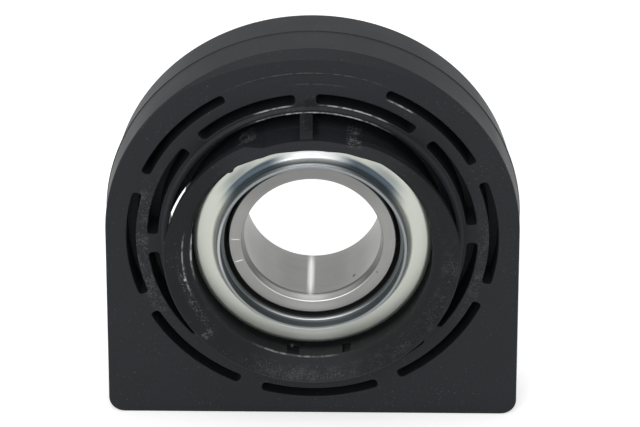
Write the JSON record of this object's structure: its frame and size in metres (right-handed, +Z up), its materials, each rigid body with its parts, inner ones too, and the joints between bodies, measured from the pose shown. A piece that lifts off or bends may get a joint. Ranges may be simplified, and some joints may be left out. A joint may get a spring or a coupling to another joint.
{
  "type": "driveshaft centre bearing",
  "caption": "Sealed ball bearing in zinc-plated pressed shells, carried in a horseshoe-shaped slotted rubber cushion with a flat base, for the middle of a driveshaft.",
  "frame": {"origin": "centre of the flat base, under the shaft axis, midway between the cushion's faces", "axes": "+Z up from the base; the shaft axis runs along Y at Z 0.098; -Y is the front, the side with the boss's flange; +X to the right seen from the front"},
  "size_m": [0.1978, 0.0637, 0.2005],
  "materials": {
    "cushion_rubber": "matt black moulded rubber with pale dust on raised edges",
    "zinc_plate": "bright zinc plate, satin on the flat and shiny on the rolled neck",
    "ground_steel": "ground bearing steel with fine turning lines",
    "seal_rubber": "black nitrile rubber",
    "cage_steel": "pressed steel strip",
    "ball_steel": "polished steel"
  },
  "bodies": {
    "mount": {"rubber_cushion": "cushion_rubber", "front_housing_shell": "zinc_plate", "rear_housing_shell": "zinc_plate", "front_seal": "seal_rubber", "rear_seal": "seal_rubber", "outer_ring": "ground_steel"},
    "shaft_ring": {"inner_ring": "ground_steel"},
    "ball_cage": {"cage_front": "cage_steel", "cage_rear": "cage_steel", "ball_01": "ball_steel", "ball_02": "ball_steel", "ball_03": "ball_steel", "ball_04": "ball_steel", "ball_05": "ball_steel", "ball_06": "ball_steel", "ball_07": "ball_steel", "ball_08": "ball_steel", "ball_09": "ball_steel", "ball_10": "ball_steel", "ball_11": "ball_steel", "cage_rivet_01": "cage_steel", "cage_rivet_02": "cage_steel", "cage_rivet_03": "cage_steel", "cage_rivet_04": "cage_steel", "cage_rivet_05": "cage_steel", "cage_rivet_06": "cage_steel", "cage_rivet_07": "cage_steel", "cage_rivet_08": "cage_steel", "cage_rivet_09": "cage_steel", "cage_rivet_10": "cage_steel", "cage_rivet_11": "cage_steel"}
  },
  "joints": [
    {"name": "inner_ring_spin", "type": "hinge", "parent": "mount", "child": "shaft_ring", "pos_m": [0, 0, 0.098], "axis": [0, 1, 0], "continuous": true},
    {"name": "cage_spin", "type": "hinge", "parent": "mount", "child": "ball_cage", "pos_m": [0, 0, 0.098], "axis": [0, 1, 0], "continuous": true}
  ],
  "couplings": [
    {"joint": "cage_spin", "follows": "inner_ring_spin", "ratio": 0.4215}
  ]
}
